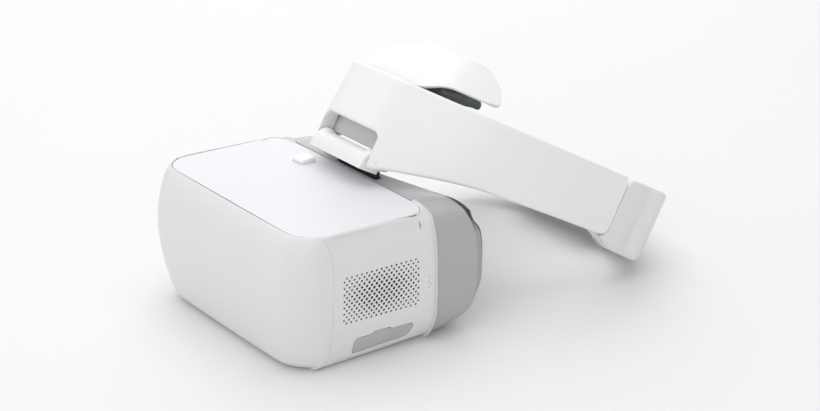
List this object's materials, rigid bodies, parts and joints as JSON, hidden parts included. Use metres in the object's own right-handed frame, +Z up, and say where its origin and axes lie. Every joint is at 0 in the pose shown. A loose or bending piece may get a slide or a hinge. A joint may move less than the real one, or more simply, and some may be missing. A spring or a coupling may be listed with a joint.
{
  "type": "fpv goggles",
  "caption": "Box-shaped video goggles with a tilting rigid headband, adjustable lenses, a cushioned face opening, and a flap over the ports.",
  "frame": {"origin": "middle of the flat underside of the display unit, on the surface it rests on", "axes": "+X towards the wearer's left, -Y towards the front of the display unit, +Y along the headband towards the back of the head, +Z up; millimetres in the source, metres in the record"},
  "size_m": [0.2164, 0.3561, 0.1739],
  "materials": {
    "white_shell": "satin white moulded plastic",
    "side_white": "satin white moulded plastic",
    "cover_white": "smooth matt bluish white plastic",
    "under_grey": "light grey textured plastic",
    "housing_grey": "fine matt grey plastic",
    "frame_grey": "dark grey plastic",
    "cushion_foam": "soft black foam with a cloth face",
    "touch_grey": "smooth light grey plastic",
    "button_white": "smooth white plastic",
    "port_rubber": "matt grey rubber",
    "board_green": "solder mask over laminate",
    "metal": "plain machined metal",
    "steel": "bright turned steel",
    "black_plastic": "matt black plastic",
    "screen": "dark polished screen glass",
    "window": "dark infrared window",
    "lens_glass": "clear polished lens",
    "dial_grey": "ribbed grey plastic",
    "hinge_white": "glossy white plastic",
    "band_white": "satin white moulded plastic",
    "liner_grey": "light grey plastic",
    "plate_white": "smooth white plastic",
    "pad_grey": "dark grey foam under a soft cloth",
    "battery_wrap": "blue shrink wrap",
    "rear_white": "light grey white plastic"
  },
  "bodies": {
    "display_unit": {"front_shell": "white_shell", "side_panel_left": "side_white", "side_panel_right": "side_white", "top_cover": "cover_white", "bottom_cover": "under_grey", "rear_housing": "housing_grey", "face_frame": "frame_grey", "face_cushion": "cushion_foam", "touch_pad": "touch_grey", "io_board": "board_green", "mainboard": "board_green", "heat_sink": "metal", "fan_housing": "black_plastic", "speaker": "black_plastic", "display_panel": "screen", "display_carrier": "black_plastic", "light_baffle": "black_plastic", "eyepiece_plate": "black_plastic", "proximity_window": "window", "case_screws": "steel", "hinge_neck": "black_plastic", "hinge_block": "hinge_white"},
    "headband": {"hinge_bracket": "steel", "hinge_pin": "steel", "band_shell": "band_white", "band_liner": "liner_grey", "forehead_plate": "plate_white", "forehead_pad": "pad_grey", "battery_left": "battery_wrap", "battery_right": "battery_wrap", "band_board": "board_green", "rear_module": "rear_white", "rear_liner": "liner_grey", "band_screws": "steel"},
    "pad": {"pad_carriage": "dial_grey", "rear_pad": "pad_grey"},
    "dial": {"adjust_dial": "dial_grey"},
    "fan": {"fan_rotor": "black_plastic"},
    "carriage_left": {"lens_carriage_left": "black_plastic", "lens_left": "lens_glass"},
    "carriage_right": {"lens_carriage_right": "black_plastic", "lens_right": "lens_glass"},
    "wheel": {"ipd_wheel": "dial_grey"},
    "flap": {"port_cover": "port_rubber"},
    "top_key": {"top_button": "button_white"},
    "power_key": {"power_button": "button_white"},
    "back_key": {"back_button": "button_white"}
  },
  "joints": [
    {"name": "headband_tilt", "type": "hinge", "parent": "display_unit", "child": "headband", "pos_m": [0, 0.03655, 0.11432], "axis": [1, 0, 0], "range_deg": [0, 40]},
    {"name": "pad_slide", "type": "slide", "parent": "headband", "child": "pad", "axis": [0, -0.8704, 0.4924], "range_m": [0, 0.009]},
    {"name": "dial_turn", "type": "hinge", "parent": "headband", "child": "dial", "pos_m": [0, 0.26604, 0.0224], "axis": [0, 0.8704, -0.4924], "range_deg": [0, 360]},
    {"name": "lens_wheel_turn", "type": "hinge", "parent": "display_unit", "child": "wheel", "pos_m": [0, 0.045, 0.0174], "axis": [0, 1, 0], "range_deg": [-36.3, 36.3]},
    {"name": "carriage_left_slide", "type": "slide", "parent": "display_unit", "child": "carriage_left", "axis": [1, 0, 0], "range_m": [-0.0038, 0.0038]},
    {"name": "carriage_right_slide", "type": "slide", "parent": "display_unit", "child": "carriage_right", "axis": [1, 0, 0], "range_m": [-0.0038, 0.0038]},
    {"name": "fan_spin", "type": "hinge", "parent": "display_unit", "child": "fan", "pos_m": [0.0865, -0.005, 0.051], "axis": [1, 0, 0], "continuous": true},
    {"name": "flap_open", "type": "hinge", "parent": "display_unit", "child": "flap", "pos_m": [0.0932, -0.003, 0.0085], "axis": [0, 1, 0], "range_deg": [0, 95]},
    {"name": "top_button_press", "type": "slide", "parent": "display_unit", "child": "top_key", "axis": [0, 0, -1], "range_m": [0, 0.0015], "stiffness_N_per_m": 600},
    {"name": "power_button_press", "type": "slide", "parent": "display_unit", "child": "power_key", "axis": [1, 0, 0], "range_m": [0, 0.001], "stiffness_N_per_m": 600},
    {"name": "back_button_press", "type": "slide", "parent": "display_unit", "child": "back_key", "axis": [1, 0, 0], "range_m": [0, 0.001], "stiffness_N_per_m": 600}
  ],
  "couplings": [
    {"joint": "lens_wheel_turn", "follows": "carriage_left_slide", "rad_per_m": 166.67},
    {"joint": "carriage_right_slide", "follows": "carriage_left_slide", "ratio": -1},
    {"joint": "dial_turn", "follows": "pad_slide", "rad_per_m": 698.13}
  ]
}
